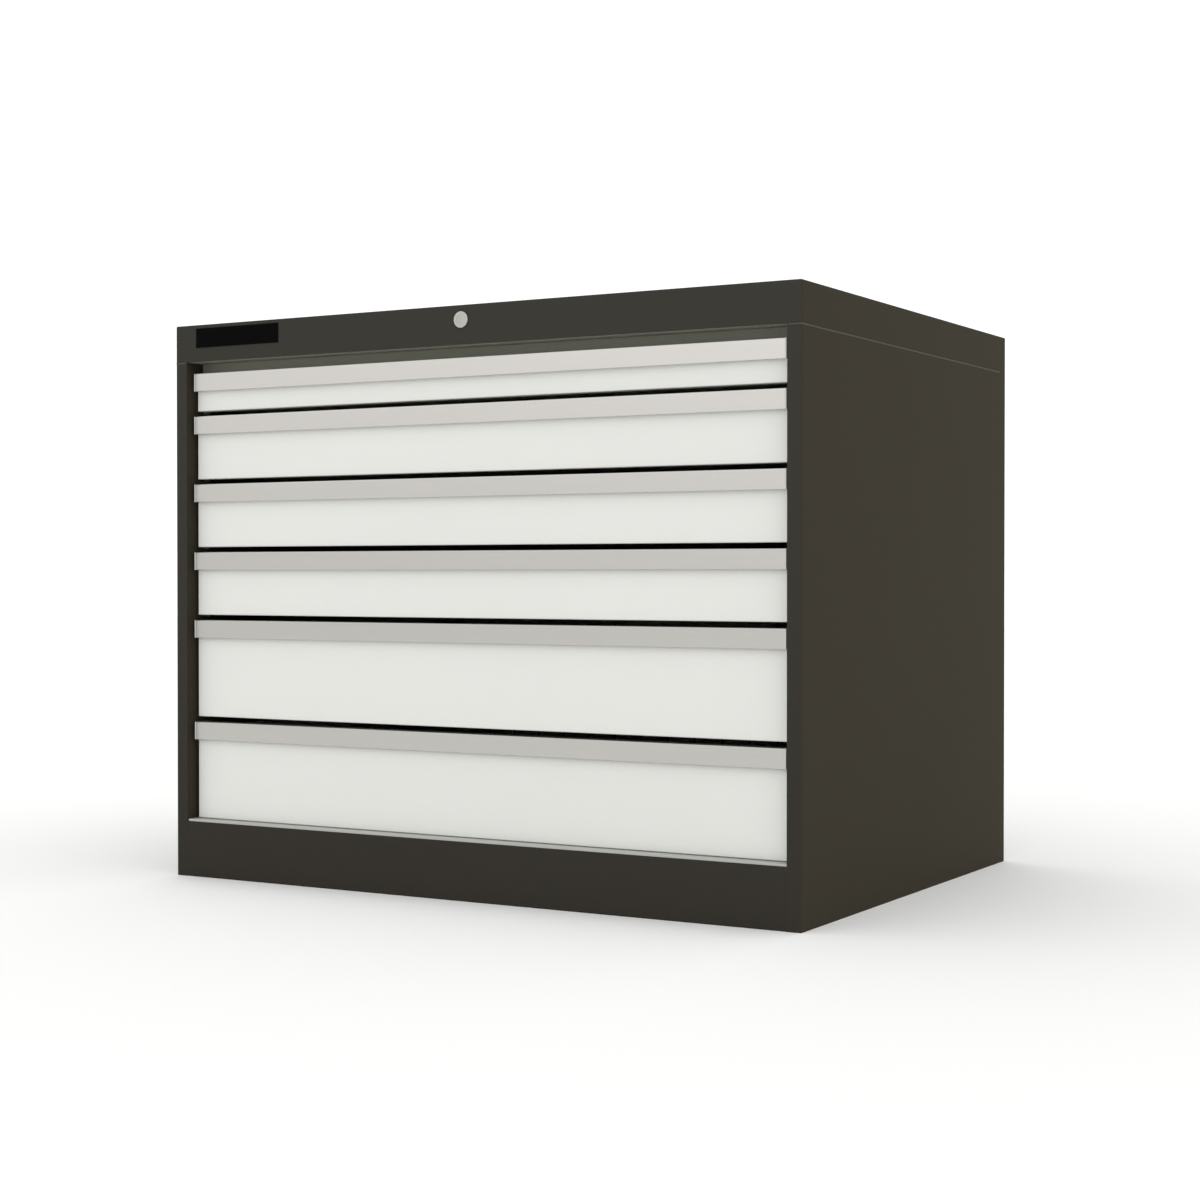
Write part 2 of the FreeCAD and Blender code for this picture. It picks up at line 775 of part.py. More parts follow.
def slider_guide(centre_x):
    """Moulded block on the deck that the slider runs through."""
    y0 = slider_y - guide_clearance
    y1 = slider_y + slider_thickness + guide_clearance
    z0 = slider_bottom - guide_clearance
    z1 = slider_top + guide_clearance
    half = guide_length / 2
    block = box(centre_x - half, centre_x + half, y0 - guide_wall, y1 + guide_wall, deck_top, z1 + guide_wall)
    return block.cut(box(centre_x - half - 1, centre_x + half + 1, y0, y1, z0, z1))


def save(name, solids):
    """Write the solids of one node to its file."""
    Part.makeCompound(solids).exportStep("parts/" + name + ".step")


os.makedirs("parts", exist_ok=True)

wall = side_panel()
left_wall = wall.cut(finger_slots() + [bar_passage(opening_top - cap_gap - 2 * carcass_sheet, opening_top)])
save("side_panel_left", [left_wall])
save("side_panel_right", [mirrored(wall)])
save("rear_uprights", [rear_upright(), mirrored(rear_upright())])
save("back_panel", [back_panel()])
save("plinth_front", [plinth_front()])
save("sill_strip", [sill_strip()])
save("base_pan", [base_pan()])
save("top_cap", [top_cap()])
save("top_deck", [top_deck(), top_rail()])
save("nameplate", [nameplate()])

outer_rails = []
for number, bay_bottom, bay_top, handle_top in drawer_bays():
    name = "drawer_%d_" % number
    front_bottom = bay_bottom + front_bottom_gap
    tray_bottom = front_bottom + tray_lift
    centre = bay_bottom + rail_centre
    cap = end_cap(handle_top)
    middle = middle_rail(centre)
    inner = inner_rail(centre)
    strips = ball_strips(centre)
    outer_rails.append(outer_rail(centre))
    save(name + "front", [front_panel(front_bottom, handle_top)])
    save(name + "handle", [handle(handle_top)])
    save(name + "end_caps", [cap, mirrored(cap)])
    save(name + "tray", [tray(tray_bottom, handle_top - tray_drop), lock_catch(bay_bottom)])
    save(name + "inner_rails", [inner, mirrored(inner)])
    save(name + "middle_rails", [middle, mirrored(middle)])
    save(name + "ball_strips", strips + [mirrored(strip) for strip in strips])

save("outer_rails_left", outer_rails)
save("outer_rails_right", [mirrored(rail) for rail in outer_rails])

save("lock_housing", [lock_housing(), lock_nut()])
save("lock_plug", [lock_plug()])
save("lock_cam", [lock_cam()])
save("lock_slider", [lock_slider()])
save("lock_bar", lock_bar())
guides = [bar_guide((bottom + top) / 2) for number, bottom, top, _ in drawer_bays() if number % 2 == 0]
guides.append(slider_guide(arm_pin_x + slider_guide_outer / 2))
guides.append(slider_guide(-slider_guide_inner))
save("lock_guides", guides)
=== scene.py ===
import math

import bpy
import numpy as np
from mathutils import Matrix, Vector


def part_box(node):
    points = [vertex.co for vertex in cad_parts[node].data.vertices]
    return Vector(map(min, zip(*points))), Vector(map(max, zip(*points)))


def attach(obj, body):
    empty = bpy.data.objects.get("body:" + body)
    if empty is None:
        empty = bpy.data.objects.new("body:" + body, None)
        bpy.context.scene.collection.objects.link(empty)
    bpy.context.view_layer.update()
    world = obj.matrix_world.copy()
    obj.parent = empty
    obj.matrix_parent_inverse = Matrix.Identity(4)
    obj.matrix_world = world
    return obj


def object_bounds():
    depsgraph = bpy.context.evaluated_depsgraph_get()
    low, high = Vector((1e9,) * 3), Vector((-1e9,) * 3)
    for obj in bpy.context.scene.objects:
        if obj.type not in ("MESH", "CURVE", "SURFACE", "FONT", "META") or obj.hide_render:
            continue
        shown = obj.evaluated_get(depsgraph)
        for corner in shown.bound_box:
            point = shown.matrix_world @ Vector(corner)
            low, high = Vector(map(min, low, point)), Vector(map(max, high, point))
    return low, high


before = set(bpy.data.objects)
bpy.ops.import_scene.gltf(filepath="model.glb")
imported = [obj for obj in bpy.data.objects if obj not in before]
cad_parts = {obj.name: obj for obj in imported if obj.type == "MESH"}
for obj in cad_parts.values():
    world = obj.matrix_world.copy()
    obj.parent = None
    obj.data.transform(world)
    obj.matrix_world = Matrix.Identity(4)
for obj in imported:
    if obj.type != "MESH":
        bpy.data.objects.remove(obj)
cad_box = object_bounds()

# Carcass: side walls, kickboard, floor pan, cap, back and rear uprights, folded from cold-rolled sheet
# steel, spot welded, hung up and powder coated together in dark olive grey. The colour carries painted shade,
# darker towards the floor, and painted light, a little browner on the faces that look left and right.
MM = 0.001
CARCASS_NODES = ["side_panel_left", "side_panel_right", "rear_uprights", "back_panel", "plinth_front",
                 "base_pan", "top_cap"]
CARCASS_COLOUR = "#36332e"
CARCASS_COLOUR_PALE_AND_LIT = "#3d3b36"
CARCASS_SIDE_PAINTED_LIGHT_COLOUR = "#3a362c"
CARCASS_ROUGHNESS = 0.45
CARCASS_PEEL = 0.06 * MM
CARCASS_SPECULAR = 0.01
CARCASS_PAINTED_SHADE_SHARE = 0.75
PEEL_SIZE = 2.4 * MM
PEEL_BUMP = 0.25
PAINT_DRIFT = 260 * MM
GLOSS_SPREAD = 0.03


def linear(colour):
    """Linear RGBA of an sRGB hex colour: a plain division below 0.04045, a 2.4 power above it."""
    parts = [int(colour[i:i + 2], 16) / 255 for i in (1, 3, 5)]
    return [c / 12.92 if c <= 0.04045 else ((c + 0.055) / 1.055) ** 2.4 for c in parts] + [1.0]


def add_node(tree, kind, settings=None, links=None):
    """Add one node: settings name its properties or input sockets, links name sockets and their sources."""
    node = tree.nodes.new(kind)
    for key, value in (settings or {}).items():
        if isinstance(key, int) or key in node.inputs:
            node.inputs[key].default_value = value
        else:
            setattr(node, key, value)
    for key, source in (links or {}).items():
        tree.links.new(source, node.inputs[key])
    return node


def new_material(name):
    """Empty node material with its shader and output joined, and the object's own coordinates."""
    material = bpy.data.materials.new(name)
    material.use_nodes = True
    tree = material.node_tree
    tree.nodes.clear()
    shader = add_node(tree, "ShaderNodeBsdfPrincipled")
    add_node(tree, "ShaderNodeOutputMaterial", links={"Surface": shader.outputs["BSDF"]})
    place = add_node(tree, "ShaderNodeTexCoord").outputs["Object"]
    return material, tree, shader, place


def dress(names, material):
    """Give CAD nodes a material in place of the one they were packed with."""
    for name in names:
        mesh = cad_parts[name].data
        mesh.materials.clear()
        mesh.materials.append(material)


def powder_coat(name, colour, pale_colour, roughness, peel_height, specular, shade_share=0.0, side_painted_light_colour=None):
    """Sprayed and baked polyester powder: colour drifts a little over a quarter of a metre, gloss varies as
    slowly, and the skin has an orange peel, drawn at 2.4 mm because the real 1 mm is too fine to show. A
    given share of the colour's drift follows the height instead, as painted shade that runs darker towards
    the floor and paler at the top of the cabinet. A side colour, where one is given, takes over on faces
    that look left or right, as painted light on those faces."""
    material, tree, shader, place = new_material(name)
    drift = add_node(tree, "ShaderNodeTexNoise", {"Scale": 1 / PAINT_DRIFT, "Detail": 2.0},
                     {"Vector": place})
    height = add_node(tree, "ShaderNodeSeparateXYZ", links={"Vector": place}).outputs["Z"]
    rise = add_node(tree, "ShaderNodeMapRange", {"From Max": cad_box[1][2]}, {"Value": height})
    # Painted shade: the given share of the colour follows the height, darker towards the floor.
    drift_and_shade = add_node(tree, "ShaderNodeMix", {"data_type": "FLOAT", "Factor": shade_share},
                    {2: drift.outputs["Fac"], 3: rise.outputs["Result"]})
    tint = add_node(tree, "ShaderNodeMix", {"data_type": "RGBA", 6: linear(colour), 7: linear(pale_colour)},
                    {"Factor": drift_and_shade.outputs[0]})
    # Painted light: faces that look left or right take the side colour.
    if side_painted_light_colour:
        facing = add_node(tree, "ShaderNodeTexCoord").outputs["Normal"]
        across = add_node(tree, "ShaderNodeSeparateXYZ", links={"Vector": facing}).outputs["X"]
        sideways = add_node(tree, "ShaderNodeMath", {"operation": "ABSOLUTE"}, {0: across})
        tint = add_node(tree, "ShaderNodeMix", {"data_type": "RGBA", 7: linear(side_painted_light_colour)},
                        {"Factor": sideways.outputs["Value"], 6: tint.outputs[2]})
    gloss = add_node(tree, "ShaderNodeMapRange",
                     {"To Min": roughness - GLOSS_SPREAD, "To Max": roughness + GLOSS_SPREAD},
                     {"Value": drift.outputs["Fac"]})
    peel = add_node(tree, "ShaderNodeTexNoise", {"Scale": 1 / PEEL_SIZE, "Detail": 1.0}, {"Vector": place})
    bump = add_node(tree, "ShaderNodeBump", {"Strength": PEEL_BUMP, "Distance": peel_height},
                    {"Height": peel.outputs["Fac"]})
    tree.links.new(tint.outputs[2], shader.inputs["Base Color"])
    tree.links.new(gloss.outputs["Result"], shader.inputs["Roughness"])
    tree.links.new(bump.outputs["Normal"], shader.inputs["Normal"])
    shader.inputs["Specular IOR Level"].default_value = specular
    return material


dress(CARCASS_NODES,
      powder_coat("dark_olive_powder_coat", CARCASS_COLOUR, CARCASS_COLOUR_PALE_AND_LIT, CARCASS_ROUGHNESS,
                  CARCASS_PEEL, CARCASS_SPECULAR, CARCASS_PAINTED_SHADE_SHARE, CARCASS_SIDE_PAINTED_LIGHT_COLOUR))

# Deck and its front rail: they close the cap from below and stay out of sight but for a strip above the
# top drawer. Their grey, paler than the carcass, is painted light, so that the strip reads light in its
# recess.
DECK_PAINTED_LIGHT_COLOUR = "#828376"
DECK_PAINTED_LIGHT_COLOUR_PALE = "#87887b"
DECK_ROUGHNESS = 0.45
DECK_PEEL = 0.03 * MM
DECK_SPECULAR = 0.25

dress(["top_deck"],
      powder_coat("grey_coat_painted_light", DECK_PAINTED_LIGHT_COLOUR, DECK_PAINTED_LIGHT_COLOUR_PALE, DECK_ROUGHNESS, DECK_PEEL, DECK_SPECULAR))

# Groove strip: a bead set into the 2 mm groove between the cap and the walls, just below the skin. Its
# pale olive grey is painted light that stands in for the lit underside of the cap, and reads as a thin
# paler line over each post and side wall.
GROOVE_PAINTED_LIGHT_COLOUR = "#55544c"
GROOVE_STRIP_HEIGHT = 1.7 * MM
GROOVE_STRIP_SETBACK = 0.25 * MM
GROOVE_STRIP_DEPTH = 1.5 * MM
GROOVE_STRIP_WAVE = 9 * MM
GROOVE_STRIP_WAVE_DEPTH = 0.1 * MM
GROOVE_STRIP_BUMP = 0.3
GROOVE_STRIP_ROUGHNESS = 0.7
GROOVE_STRIP_SPECULAR = 0.1
GROOVE_HEIGHT = 2.0 * MM
GROOVE_STOP = 22.0 * MM


def new_piece(name, points, faces):
    """Object with one mesh at the origin, from its points and its faces, linked into the scene."""
    mesh = bpy.data.meshes.new(name)
    mesh.from_pydata(points, [], faces)
    piece = bpy.data.objects.new(name, mesh)
    bpy.context.scene.collection.objects.link(piece)
    return piece


def sweep(name, path, profile):
    """Closed profile carried along a flat path: each path point holds the profile's offsets out from the
    path, along the mean of its two runs' normals, and up. Quads join neighbouring rings, and the two end
    rings are closed by one face each."""
    path = np.asarray(path, float)
    profile = np.asarray(profile, float)
    runs = np.diff(path[:, :2], axis=0)
    runs /= np.linalg.norm(runs, axis=1)[:, None]
    normals = np.stack([runs[:, 1], -runs[:, 0]], axis=1)
    first = np.vstack([normals[:1], normals])
    second = np.vstack([normals, normals[-1:]])
    mitre = (first + second) / (1 + np.sum(first * second, axis=1))[:, None]
    points = np.zeros((len(path), len(profile), 3))
    points[:, :, :2] = path[:, None, :2] + mitre[:, None, :] * profile[None, :, :1]
    points[:, :, 2] = path[:, None, 2] + profile[None, :, 1]
    around = len(profile)
    ring = np.arange(len(path) - 1)[:, None] * around
    here = np.arange(around)[None, :]
    after = (here + 1) % around
    quads = np.stack([ring + here, ring + after, ring + after + around, ring + here + around], axis=2)
    first_end = list(range(around))[::-1]
    last_end = list(range(len(path) * around - around, len(path) * around))
    faces = quads.reshape(-1, 4).tolist() + [first_end, last_end]
    return new_piece(name, points.reshape(-1, 3).tolist(), faces)


def groove_painted_light():
    """Painted light in the groove: a dull even pale grey that stands in for the lit underside of the cap,
    with a surface that waves a little every 9 mm or so."""
    material, tree, shader, place = new_material("groove_painted_light_grey")
    waves = add_node(tree, "ShaderNodeTexNoise", {"Scale": 1 / GROOVE_STRIP_WAVE, "Detail": 2.0}, {"Vector": place})
    bump = add_node(tree, "ShaderNodeBump", {"Strength": GROOVE_STRIP_BUMP, "Distance": GROOVE_STRIP_WAVE_DEPTH},
                    {"Height": waves.outputs["Fac"]})
    tree.links.new(bump.outputs["Normal"], shader.inputs["Normal"])
    shader.inputs["Base Color"].default_value = linear(GROOVE_PAINTED_LIGHT_COLOUR)
    shader.inputs["Roughness"].default_value = GROOVE_STRIP_ROUGHNESS
    shader.inputs["Specular IOR Level"].default_value = GROOVE_STRIP_SPECULAR
    return material


groove_light_material = groove_painted_light()
wall_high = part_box("side_panel_left")[1]
plinth_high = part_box("plinth_front")[1]
cap_low, cap_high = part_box("top_cap")
groove_middle = wall_high.z - GROOVE_HEIGHT / 2
half_height = GROOVE_STRIP_HEIGHT / 2
for side, name in ((-1, "cap_groove_painted_light_left"), (1, "cap_groove_painted_light_right")):
    route = [(side * plinth_high.x, cap_low.y, groove_middle), (side * cap_high.x, cap_low.y, groove_middle),
             (side * cap_high.x, cap_high.y - GROOVE_STOP, groove_middle)]
    section = [(-side * GROOVE_STRIP_SETBACK, -half_height), (-side * GROOVE_STRIP_SETBACK, half_height),
               (-side * GROOVE_STRIP_DEPTH, half_height), (-side * GROOVE_STRIP_DEPTH, -half_height)]
    # The right bead is the mirror of the left, so its outline runs the other way to keep faces outward
    if side > 0:
        section.reverse()
    bead = sweep(name, route, section)
    bead.data.materials.append(groove_light_material)
    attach(bead, "root")

# Drawer fronts: folded steel pans powder coated off-white, smoother and more satin than the carcass,
# because the light powder flows out longer in the oven.
FRONT_COLOUR = "#e4e5e0"
FRONT_COLOUR_THIN = "#e1e2dd"
FRONT_ROUGHNESS = 0.42
FRONT_PEEL = 0.04 * MM
FRONT_SPECULAR = 0.35
DRAWERS = range(1, 7)

dress(["drawer_%d_front" % n for n in DRAWERS],
      powder_coat("off_white_powder_coat", FRONT_COLOUR, FRONT_COLOUR_THIN, FRONT_ROUGHNESS, FRONT_PEEL,
                  FRONT_SPECULAR))

# Drawer trays: galvanised sheet, punched with divider slots and powder coated light grey inside
# and out before the rails are riveted on.
TRAY_COLOUR = "#c9cac6"
TRAY_COLOUR_THIN = "#c4c5c1"
TRAY_ROUGHNESS = 0.45
TRAY_PEEL = 0.04 * MM
TRAY_SPECULAR = 0.35

dress(["drawer_%d_tray" % n for n in DRAWERS],
      powder_coat("light_grey_powder_coat", TRAY_COLOUR, TRAY_COLOUR_THIN, TRAY_ROUGHNESS, TRAY_PEEL,
                  TRAY_SPECULAR))

# Handles: full-width aluminium extrusions, lightly brushed along their length and clear anodised,
# which leaves a soft metal sheen with hairlines that run from end to end.
# The two handle colours are also the ends of a painted shade that runs from light at the top to darker below.
HANDLE_COLOUR_LIT_AND_PALE_LINE = "#dedbd6"
HANDLE_COLOUR_SHADED_AND_DARK_LINE = "#bdbbb6"
HANDLE_FULLY_LIT_HEIGHT = 740 * MM
HANDLE_FULLY_SHADED_HEIGHT = 400 * MM
HAIRLINE_SHARE = 0.2
HAIRLINE_HEIGHT = 0.5 * MM
HAIRLINE_LENGTH = 120 * MM
HAIRLINE_DEPTH = 0.02 * MM
HAIRLINE_BUMP = 0.15
HANDLE_GLOSS = (0.26, 0.36)


def anodised_aluminium():
    """Clear anodised aluminium: hairlines are noise stretched along X, drawn 0.5 mm high because real ones
    are too fine to show, and they vary the tint and gloss. The tone also carries painted shade, which runs
    from light on the top handle to darker on the lower ones."""
    material, tree, shader, place = new_material("clear_anodised_aluminium")
    stretch = (1 / HAIRLINE_LENGTH, 1 / HAIRLINE_HEIGHT, 1 / HAIRLINE_HEIGHT)
    along = add_node(tree, "ShaderNodeMapping", {"Scale": stretch}, {"Vector": place})
    lines = add_node(tree, "ShaderNodeTexNoise", {"Scale": 1.0, "Detail": 3.0},
                     {"Vector": along.outputs["Vector"]})
    height = add_node(tree, "ShaderNodeSeparateXYZ", links={"Vector": place}).outputs["Z"]
    painted_shade_ramp = add_node(tree, "ShaderNodeMapRange",
                    {"From Min": HANDLE_FULLY_SHADED_HEIGHT, "From Max": HANDLE_FULLY_LIT_HEIGHT}, {"Value": height})
    tone = add_node(tree, "ShaderNodeMix", {"data_type": "FLOAT", "Factor": HAIRLINE_SHARE},
                    {2: painted_shade_ramp.outputs["Result"], 3: lines.outputs["Fac"]})
    tint = add_node(tree, "ShaderNodeMix",
                    {"data_type": "RGBA", 6: linear(HANDLE_COLOUR_SHADED_AND_DARK_LINE), 7: linear(HANDLE_COLOUR_LIT_AND_PALE_LINE)},
                    {"Factor": tone.outputs[0]})
    gloss = add_node(tree, "ShaderNodeMapRange", {"To Min": HANDLE_GLOSS[0], "To Max": HANDLE_GLOSS[1]},
                     {"Value": lines.outputs["Fac"]})
    bump = add_node(tree, "ShaderNodeBump", {"Strength": HAIRLINE_BUMP, "Distance": HAIRLINE_DEPTH},
                    {"Height": lines.outputs["Fac"]})
    tree.links.new(tint.outputs[2], shader.inputs["Base Color"])
    tree.links.new(gloss.outputs["Result"], shader.inputs["Roughness"])
    tree.links.new(bump.outputs["Normal"], shader.inputs["Normal"])
    shader.inputs["Metallic"].default_value = 1.0
    return material


dress(["drawer_%d_handle" % n for n in DRAWERS], anodised_aluminium())

# Handle end caps and lock guides: injection moulded plastics, light grey ABS on the handles and
# black nylon in the lock, both with a fine spark-eroded grain.
END_CAP_COLOUR = "#cfcecb"
END_CAP_ROUGHNESS = 0.5
GUIDE_COLOUR = "#1c1c1c"
GUIDE_ROUGHNESS = 0.45
GRAIN_SIZE = 0.8 * MM
GRAIN_DEPTH = 0.03 * MM
GRAIN_BUMP = 0.2
GRAIN_GLOSS = 0.05


def moulded_plastic(name, colour, roughness):
    """Moulded plastic: an even colour under the mould's grain, a noise bump that is drawn at 0.8 mm because
    the real 0.1 mm is too fine to show."""
    material, tree, shader, place = new_material(name)
    grain = add_node(tree, "ShaderNodeTexNoise", {"Scale": 1 / GRAIN_SIZE, "Detail": 2.0}, {"Vector": place})
    gloss = add_node(tree, "ShaderNodeMapRange",
                     {"To Min": roughness - GRAIN_GLOSS, "To Max": roughness + GRAIN_GLOSS},
                     {"Value": grain.outputs["Fac"]})
    bump = add_node(tree, "ShaderNodeBump", {"Strength": GRAIN_BUMP, "Distance": GRAIN_DEPTH},
                    {"Height": grain.outputs["Fac"]})
    tree.links.new(gloss.outputs["Result"], shader.inputs["Roughness"])
    tree.links.new(bump.outputs["Normal"], shader.inputs["Normal"])
    shader.inputs["Base Color"].default_value = linear(colour)
    return material


dress(["drawer_%d_end_caps" % n for n in DRAWERS],
      moulded_plastic("light_grey_abs", END_CAP_COLOUR, END_CAP_ROUGHNESS))
dress(["lock_guides"], moulded_plastic("black_nylon", GUIDE_COLOUR, GUIDE_ROUGHNESS))

# Sill and nameplate: a strip on the ledge whose light grey is painted light, standing in for the light
# that the ledge catches from above, and a blank black acrylic plate glued to the fascia.
SILL_PAINTED_LIGHT_COLOUR = "#b4b4b1"
SILL_ROUGHNESS = 0.4
SILL_SPECULAR = 0.3
NAMEPLATE_COLOUR = "#050505"
NAMEPLATE_ROUGHNESS = 0.3
NAMEPLATE_SPECULAR = 0.03
SHEEN_PATCH = 60 * MM
SHEEN_SPREAD = 0.04


def plain_plastic(name, colour, roughness, specular):
    """Extruded or cast plastic: even colour, with the gloss varying a little over a few centimetres."""
    material, tree, shader, place = new_material(name)
    drift = add_node(tree, "ShaderNodeTexNoise", {"Scale": 1 / SHEEN_PATCH, "Detail": 2.0}, {"Vector": place})
    gloss = add_node(tree, "ShaderNodeMapRange",
                     {"To Min": roughness - SHEEN_SPREAD, "To Max": roughness + SHEEN_SPREAD},
                     {"Value": drift.outputs["Fac"]})
    tree.links.new(gloss.outputs["Result"], shader.inputs["Roughness"])
    shader.inputs["Base Color"].default_value = linear(colour)
    shader.inputs["Specular IOR Level"].default_value = specular
    return material


dress(["sill_strip"], plain_plastic("sill_painted_light_grey", SILL_PAINTED_LIGHT_COLOUR, SILL_ROUGHNESS, SILL_SPECULAR))
dress(["nameplate"],
      plain_plastic("black_acrylic", NAMEPLATE_COLOUR, NAMEPLATE_ROUGHNESS, NAMEPLATE_SPECULAR))

# Slides and lock linkage: cold-rolled steel with bright blue zinc plate. The plate clouds into
# patches a few centimetres wide and shows the rolling lines along each rail.
ZINC_COLOUR = "#c3c8cc"
ZINC_COLOUR_CLOUD = "#a9afb3"
ZINC_CLOUD_SIZE = 35 * MM
ZINC_GLOSS = (0.25, 0.42)
ROLLING_LINE_WIDTH = 0.6 * MM
ROLLING_LINE_LENGTH = 80 * MM
ZINC_NODES = ["outer_rails_left", "outer_rails_right", "lock_cam", "lock_slider", "lock_bar"]
for n in DRAWERS:
    ZINC_NODES += ["drawer_%d_inner_rails" % n, "drawer_%d_middle_rails" % n, "drawer_%d_ball_strips" % n]


def zinc_plate():
    """Bright zinc on rolled steel: slow clouds mix two greys, and lines along Y vary the gloss, drawn 0.6 mm
    wide because real rolling lines are too fine to show."""
    material, tree, shader, place = new_material("bright_zinc_plate")
    clouds = add_node(tree, "ShaderNodeTexNoise", {"Scale": 1 / ZINC_CLOUD_SIZE, "Detail": 3.0},
                      {"Vector": place})
    tint = add_node(tree, "ShaderNodeMix",
                    {"data_type": "RGBA", 6: linear(ZINC_COLOUR), 7: linear(ZINC_COLOUR_CLOUD)},
                    {"Factor": clouds.outputs["Fac"]})
    stretch = (1 / ROLLING_LINE_WIDTH, 1 / ROLLING_LINE_LENGTH, 1 / ROLLING_LINE_WIDTH)
    along = add_node(tree, "ShaderNodeMapping", {"Scale": stretch}, {"Vector": place})
    lines = add_node(tree, "ShaderNodeTexNoise", {"Scale": 1.0, "Detail": 2.0},
                     {"Vector": along.outputs["Vector"]})
    gloss = add_node(tree, "ShaderNodeMapRange", {"To Min": ZINC_GLOSS[0], "To Max": ZINC_GLOSS[1]},
                     {"Value": lines.outputs["Fac"]})
    tree.links.new(tint.outputs[2], shader.inputs["Base Color"])
    tree.links.new(gloss.outputs["Result"], shader.inputs["Roughness"])
    shader.inputs["Metallic"].default_value = 1.0
    return material


dress(ZINC_NODES, zinc_plate())

# Lock: turned brass barrel and core with a satin nickel plate, fine turning rings on the face and a rim
# made brighter by a painted highlight.
LOCK_COLOUR = "#c5c2bd"
LOCK_COLOUR_RING = "#bab7b2"
LOCK_RIM_HIGHLIGHT_COLOUR = "#efece7"
LOCK_RIM_WIDTH = 1.6 * MM
LOCK_ROUGHNESS = 0.35
TURNING_RING = 0.35 * MM
TURNING_DEPTH = 0.02 * MM
TURNING_BUMP = 0.2


def satin_nickel():
    """Satin nickel on a turned face: the rings and the painted highlight on the rim follow the distance to
    the lock's axis. The rings are drawn at 0.35 mm, coarser than a lathe leaves them, so that they show."""
    material, tree, shader, place = new_material("satin_nickel_plate")
    low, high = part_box("lock_housing")
    centre = (low + high) / 2
    axis = add_node(tree, "ShaderNodeVectorMath",
                    {"operation": "SUBTRACT", 1: (centre.x, 0.0, centre.z)}, {0: place})
    flat = add_node(tree, "ShaderNodeVectorMath", {"operation": "MULTIPLY", 1: (1.0, 0.0, 1.0)},
                    {0: axis.outputs["Vector"]})
    radius = add_node(tree, "ShaderNodeVectorMath", {"operation": "LENGTH"}, {0: flat.outputs["Vector"]})
    rings = add_node(tree, "ShaderNodeTexNoise", {"noise_dimensions": "1D", "Scale": 1 / TURNING_RING},
                     {"W": radius.outputs["Value"]})
    tint = add_node(tree, "ShaderNodeMix",
                    {"data_type": "RGBA", 6: linear(LOCK_COLOUR), 7: linear(LOCK_COLOUR_RING)},
                    {"Factor": rings.outputs["Fac"]})
    outer = (high.x - low.x) / 2
    inner = outer - LOCK_RIM_WIDTH
    rim = add_node(tree, "ShaderNodeMapRange",
                   {"interpolation_type": "SMOOTHSTEP", "From Min": inner, "From Max": outer},
                   {"Value": radius.outputs["Value"]})
    finish = add_node(tree, "ShaderNodeMix", {"data_type": "RGBA", 7: linear(LOCK_RIM_HIGHLIGHT_COLOUR)},
                      {"Factor": rim.outputs["Result"], 6: tint.outputs[2]})
    bump = add_node(tree, "ShaderNodeBump", {"Strength": TURNING_BUMP, "Distance": TURNING_DEPTH},
                    {"Height": rings.outputs["Fac"]})
    tree.links.new(finish.outputs[2], shader.inputs["Base Color"])
    tree.links.new(bump.outputs["Normal"], shader.inputs["Normal"])
    shader.inputs["Metallic"].default_value = 1.0
    shader.inputs["Roughness"].default_value = LOCK_ROUGHNESS
    return material


lock_metal = satin_nickel()
dress(["lock_housing", "lock_plug"], lock_metal)

# Keyway shutter: a sprung leaf of the same plated brass, which closes the keyway just below the plug's
# face and keeps dust out until the key pushes it in.
KEYWAY_WIDTH = 1.6 * MM
KEYWAY_HEIGHT = 8.5 * MM
SHUTTER_CLEARANCE = 0.05 * MM
SHUTTER_SETBACK = 0.15 * MM
SHUTTER_THICKNESS = 0.6 * MM
SHUTTER_CROWN = 0.1 * MM
SHUTTER_STEPS = 12


def leaf(name, middle_x, middle_z, width, height, front, thickness, crown):
    """Thin plate crowned across its width: with u running from -1 to 1 over the width, its front stands
    forward by the crown times one minus u squared, and its sides run straight back to a flat rear."""
    u = np.linspace(-1, 1, SHUTTER_STEPS + 1)
    x = middle_x + u * width / 2
    y_front = front - crown * (1 - u * u)
    z = np.array([middle_z - height / 2, middle_z + height / 2])
    front_grid = np.stack([np.tile(x, 2), np.tile(y_front, 2), np.repeat(z, len(u))], axis=1)
    rear_grid = front_grid.copy()
    rear_grid[:, 1] = front + thickness
    count = len(u)
    here = np.arange(count - 1)
    front_faces = np.stack([here, here + 1, here + 1 + count, here + count], axis=1)
    rear_faces = front_faces[:, ::-1] + 2 * count
    rim = np.concatenate([np.arange(count), np.arange(count, 2 * count)[::-1]])
    after = np.roll(rim, -1)
    rim_faces = np.stack([rim, rim + 2 * count, after + 2 * count, after], axis=1)
    points = np.concatenate([front_grid, rear_grid]).tolist()
    return new_piece(name, points, np.concatenate([front_faces, rear_faces, rim_faces]).tolist())


plug_low, plug_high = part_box("lock_plug")
plug_x = (plug_low.x + plug_high.x) / 2
plug_z = (plug_low.z + plug_high.z) / 2
shutter = leaf("keyway_shutter", plug_x, plug_z,
               KEYWAY_WIDTH - 2 * SHUTTER_CLEARANCE, KEYWAY_HEIGHT - 2 * SHUTTER_CLEARANCE,
               plug_low.y + SHUTTER_SETBACK, SHUTTER_THICKNESS, SHUTTER_CROWN)
shutter.data.materials.append(lock_metal)
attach(shutter, "lock_plug")

# Floor: seamless matt white studio paper, rolled out flat far past the view, so that the floor runs into
# the white room with no edge to be seen.
FLOOR_HALF = 14.0
PAPER_COLOUR = "#f9f9f8"
PAPER_TOOTH = 3.0 * MM
PAPER_DULLNESS = (0.86, 0.94)
PAPER_SPECULAR = 0.2


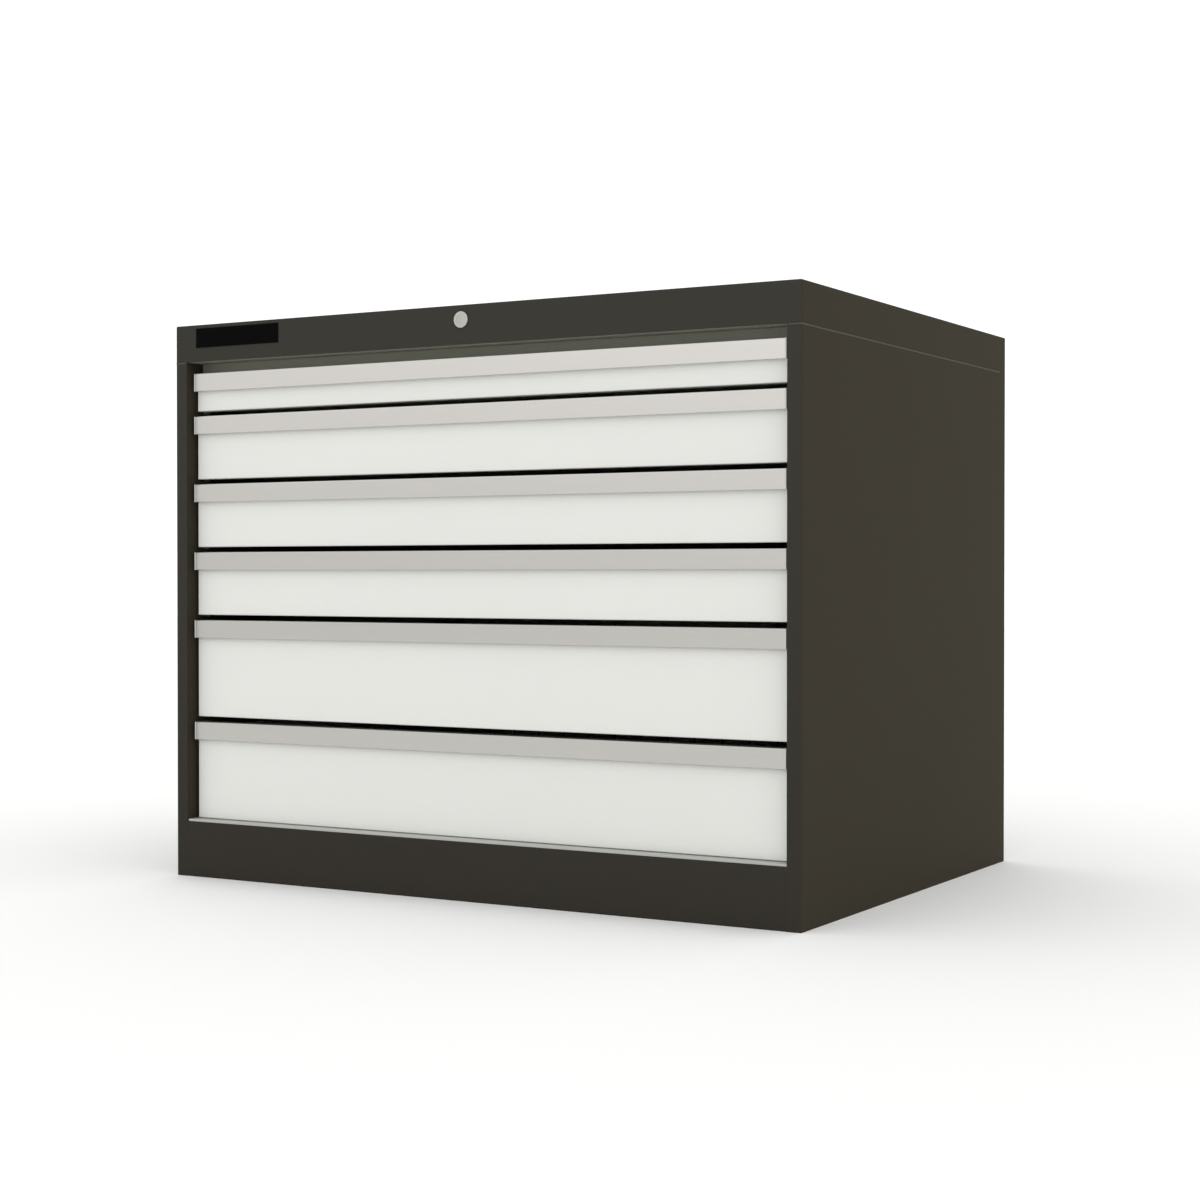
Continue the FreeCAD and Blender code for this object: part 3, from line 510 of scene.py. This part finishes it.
def studio_paper():
    """White uncoated paper: an even tone whose tooth, drawn at 3 mm to show at all, varies the dullness."""
    material, tree, shader, place = new_material("matt_white_paper")
    tooth = add_node(tree, "ShaderNodeTexNoise", {"Scale": 1 / PAPER_TOOTH}, {"Vector": place})
    dullness = add_node(tree, "ShaderNodeMapRange",
                        {"To Min": PAPER_DULLNESS[0], "To Max": PAPER_DULLNESS[1]},
                        {"Value": tooth.outputs["Fac"]})
    tree.links.new(dullness.outputs["Result"], shader.inputs["Roughness"])
    shader.inputs["Base Color"].default_value = linear(PAPER_COLOUR)
    shader.inputs["Specular IOR Level"].default_value = PAPER_SPECULAR
    return material


corners = [(-FLOOR_HALF, -FLOOR_HALF, 0), (FLOOR_HALF, -FLOOR_HALF, 0),
           (FLOOR_HALF, FLOOR_HALF, 0), (-FLOOR_HALF, FLOOR_HALF, 0)]
floor = new_piece("floor", corners, [(0, 1, 2, 3)])
floor.data.materials.append(studio_paper())

# Light: an even white room with two soft dimmer stretches, where a studio's lamps end. One is low on the
# left and shades the left ends of the handles, and a fainter and wider one is on the right and shades the
# side wall. The camera itself sees an even white behind the object.
ROOM_COLOUR = "#ffffff"
ROOM_STRENGTH = 1.14
LEFT_DIM = {"toward": (-0.80, -0.55, -0.24), "edge": 48, "core": 14, "share": 0.70}
RIGHT_DIM = {"toward": (0.95, 0.30, 0.0), "edge": 85, "core": 20, "share": 0.88}


def dimming(tree, direction, toward, edge, core, share):
    """Share of light left in a direction: 1 outside a cone of the edge angle, less and less inside it, and
    the least inside a cone of the core angle."""
    length = math.sqrt(sum(part * part for part in toward))
    facing = add_node(tree, "ShaderNodeVectorMath",
                      {"operation": "DOT_PRODUCT", 1: [part / length for part in toward]}, {0: direction})
    fade = add_node(tree, "ShaderNodeMapRange",
                    {"interpolation_type": "SMOOTHSTEP", "From Min": math.cos(math.radians(edge)),
                     "From Max": math.cos(math.radians(core)), "To Min": 1.0, "To Max": share},
                    {"Value": facing.outputs["Value"]})
    return fade.outputs["Result"]


world = bpy.data.worlds.new("room")
bpy.context.scene.world = world
world.use_nodes = True
room = world.node_tree
toward_room = add_node(room, "ShaderNodeTexCoord").outputs["Generated"]
both_dims = add_node(room, "ShaderNodeMath", {"operation": "MULTIPLY"},
                     {0: dimming(room, toward_room, **LEFT_DIM), 1: dimming(room, toward_room, **RIGHT_DIM)})
seen_directly = add_node(room, "ShaderNodeLightPath").outputs["Is Camera Ray"]
undimmed = add_node(room, "ShaderNodeMath", {"operation": "MAXIMUM"},
                    {0: both_dims.outputs["Value"], 1: seen_directly})
strength = add_node(room, "ShaderNodeMath", {"operation": "MULTIPLY", 1: ROOM_STRENGTH},
                    {0: undimmed.outputs["Value"]})
room.nodes["Background"].inputs["Color"].default_value = linear(ROOM_COLOUR)
room.links.new(strength.outputs["Value"], room.nodes["Background"].inputs["Strength"])

# Camera: the photograph's station point and angle, worked out from the corners of the carcass. It stands
# 30 degrees round to the right, a little above half the cabinet's height, and looks almost level.
CAMERA_PLACE = (1.58455, -2.74595, 0.44614)
CAMERA_TURN = 30.0
CAMERA_PITCH = -0.7295
CAMERA_FOCAL_PIXELS = 2095.45
PHOTO_PIXELS = 1200
SENSOR_WIDTH = 36.0
FARTHEST_SEEN = 100.0

camera_data = bpy.data.cameras.new("camera")
camera_data.sensor_width = SENSOR_WIDTH
camera_data.lens = CAMERA_FOCAL_PIXELS / PHOTO_PIXELS * SENSOR_WIDTH
camera_data.clip_end = FARTHEST_SEEN
camera = bpy.data.objects.new("camera", camera_data)
bpy.context.scene.collection.objects.link(camera)
camera.location = CAMERA_PLACE
camera.rotation_euler = (math.radians(90 + CAMERA_PITCH), 0.0, math.radians(CAMERA_TURN))
bpy.context.scene.camera = camera
bpy.context.scene.view_settings.view_transform = "Standard"
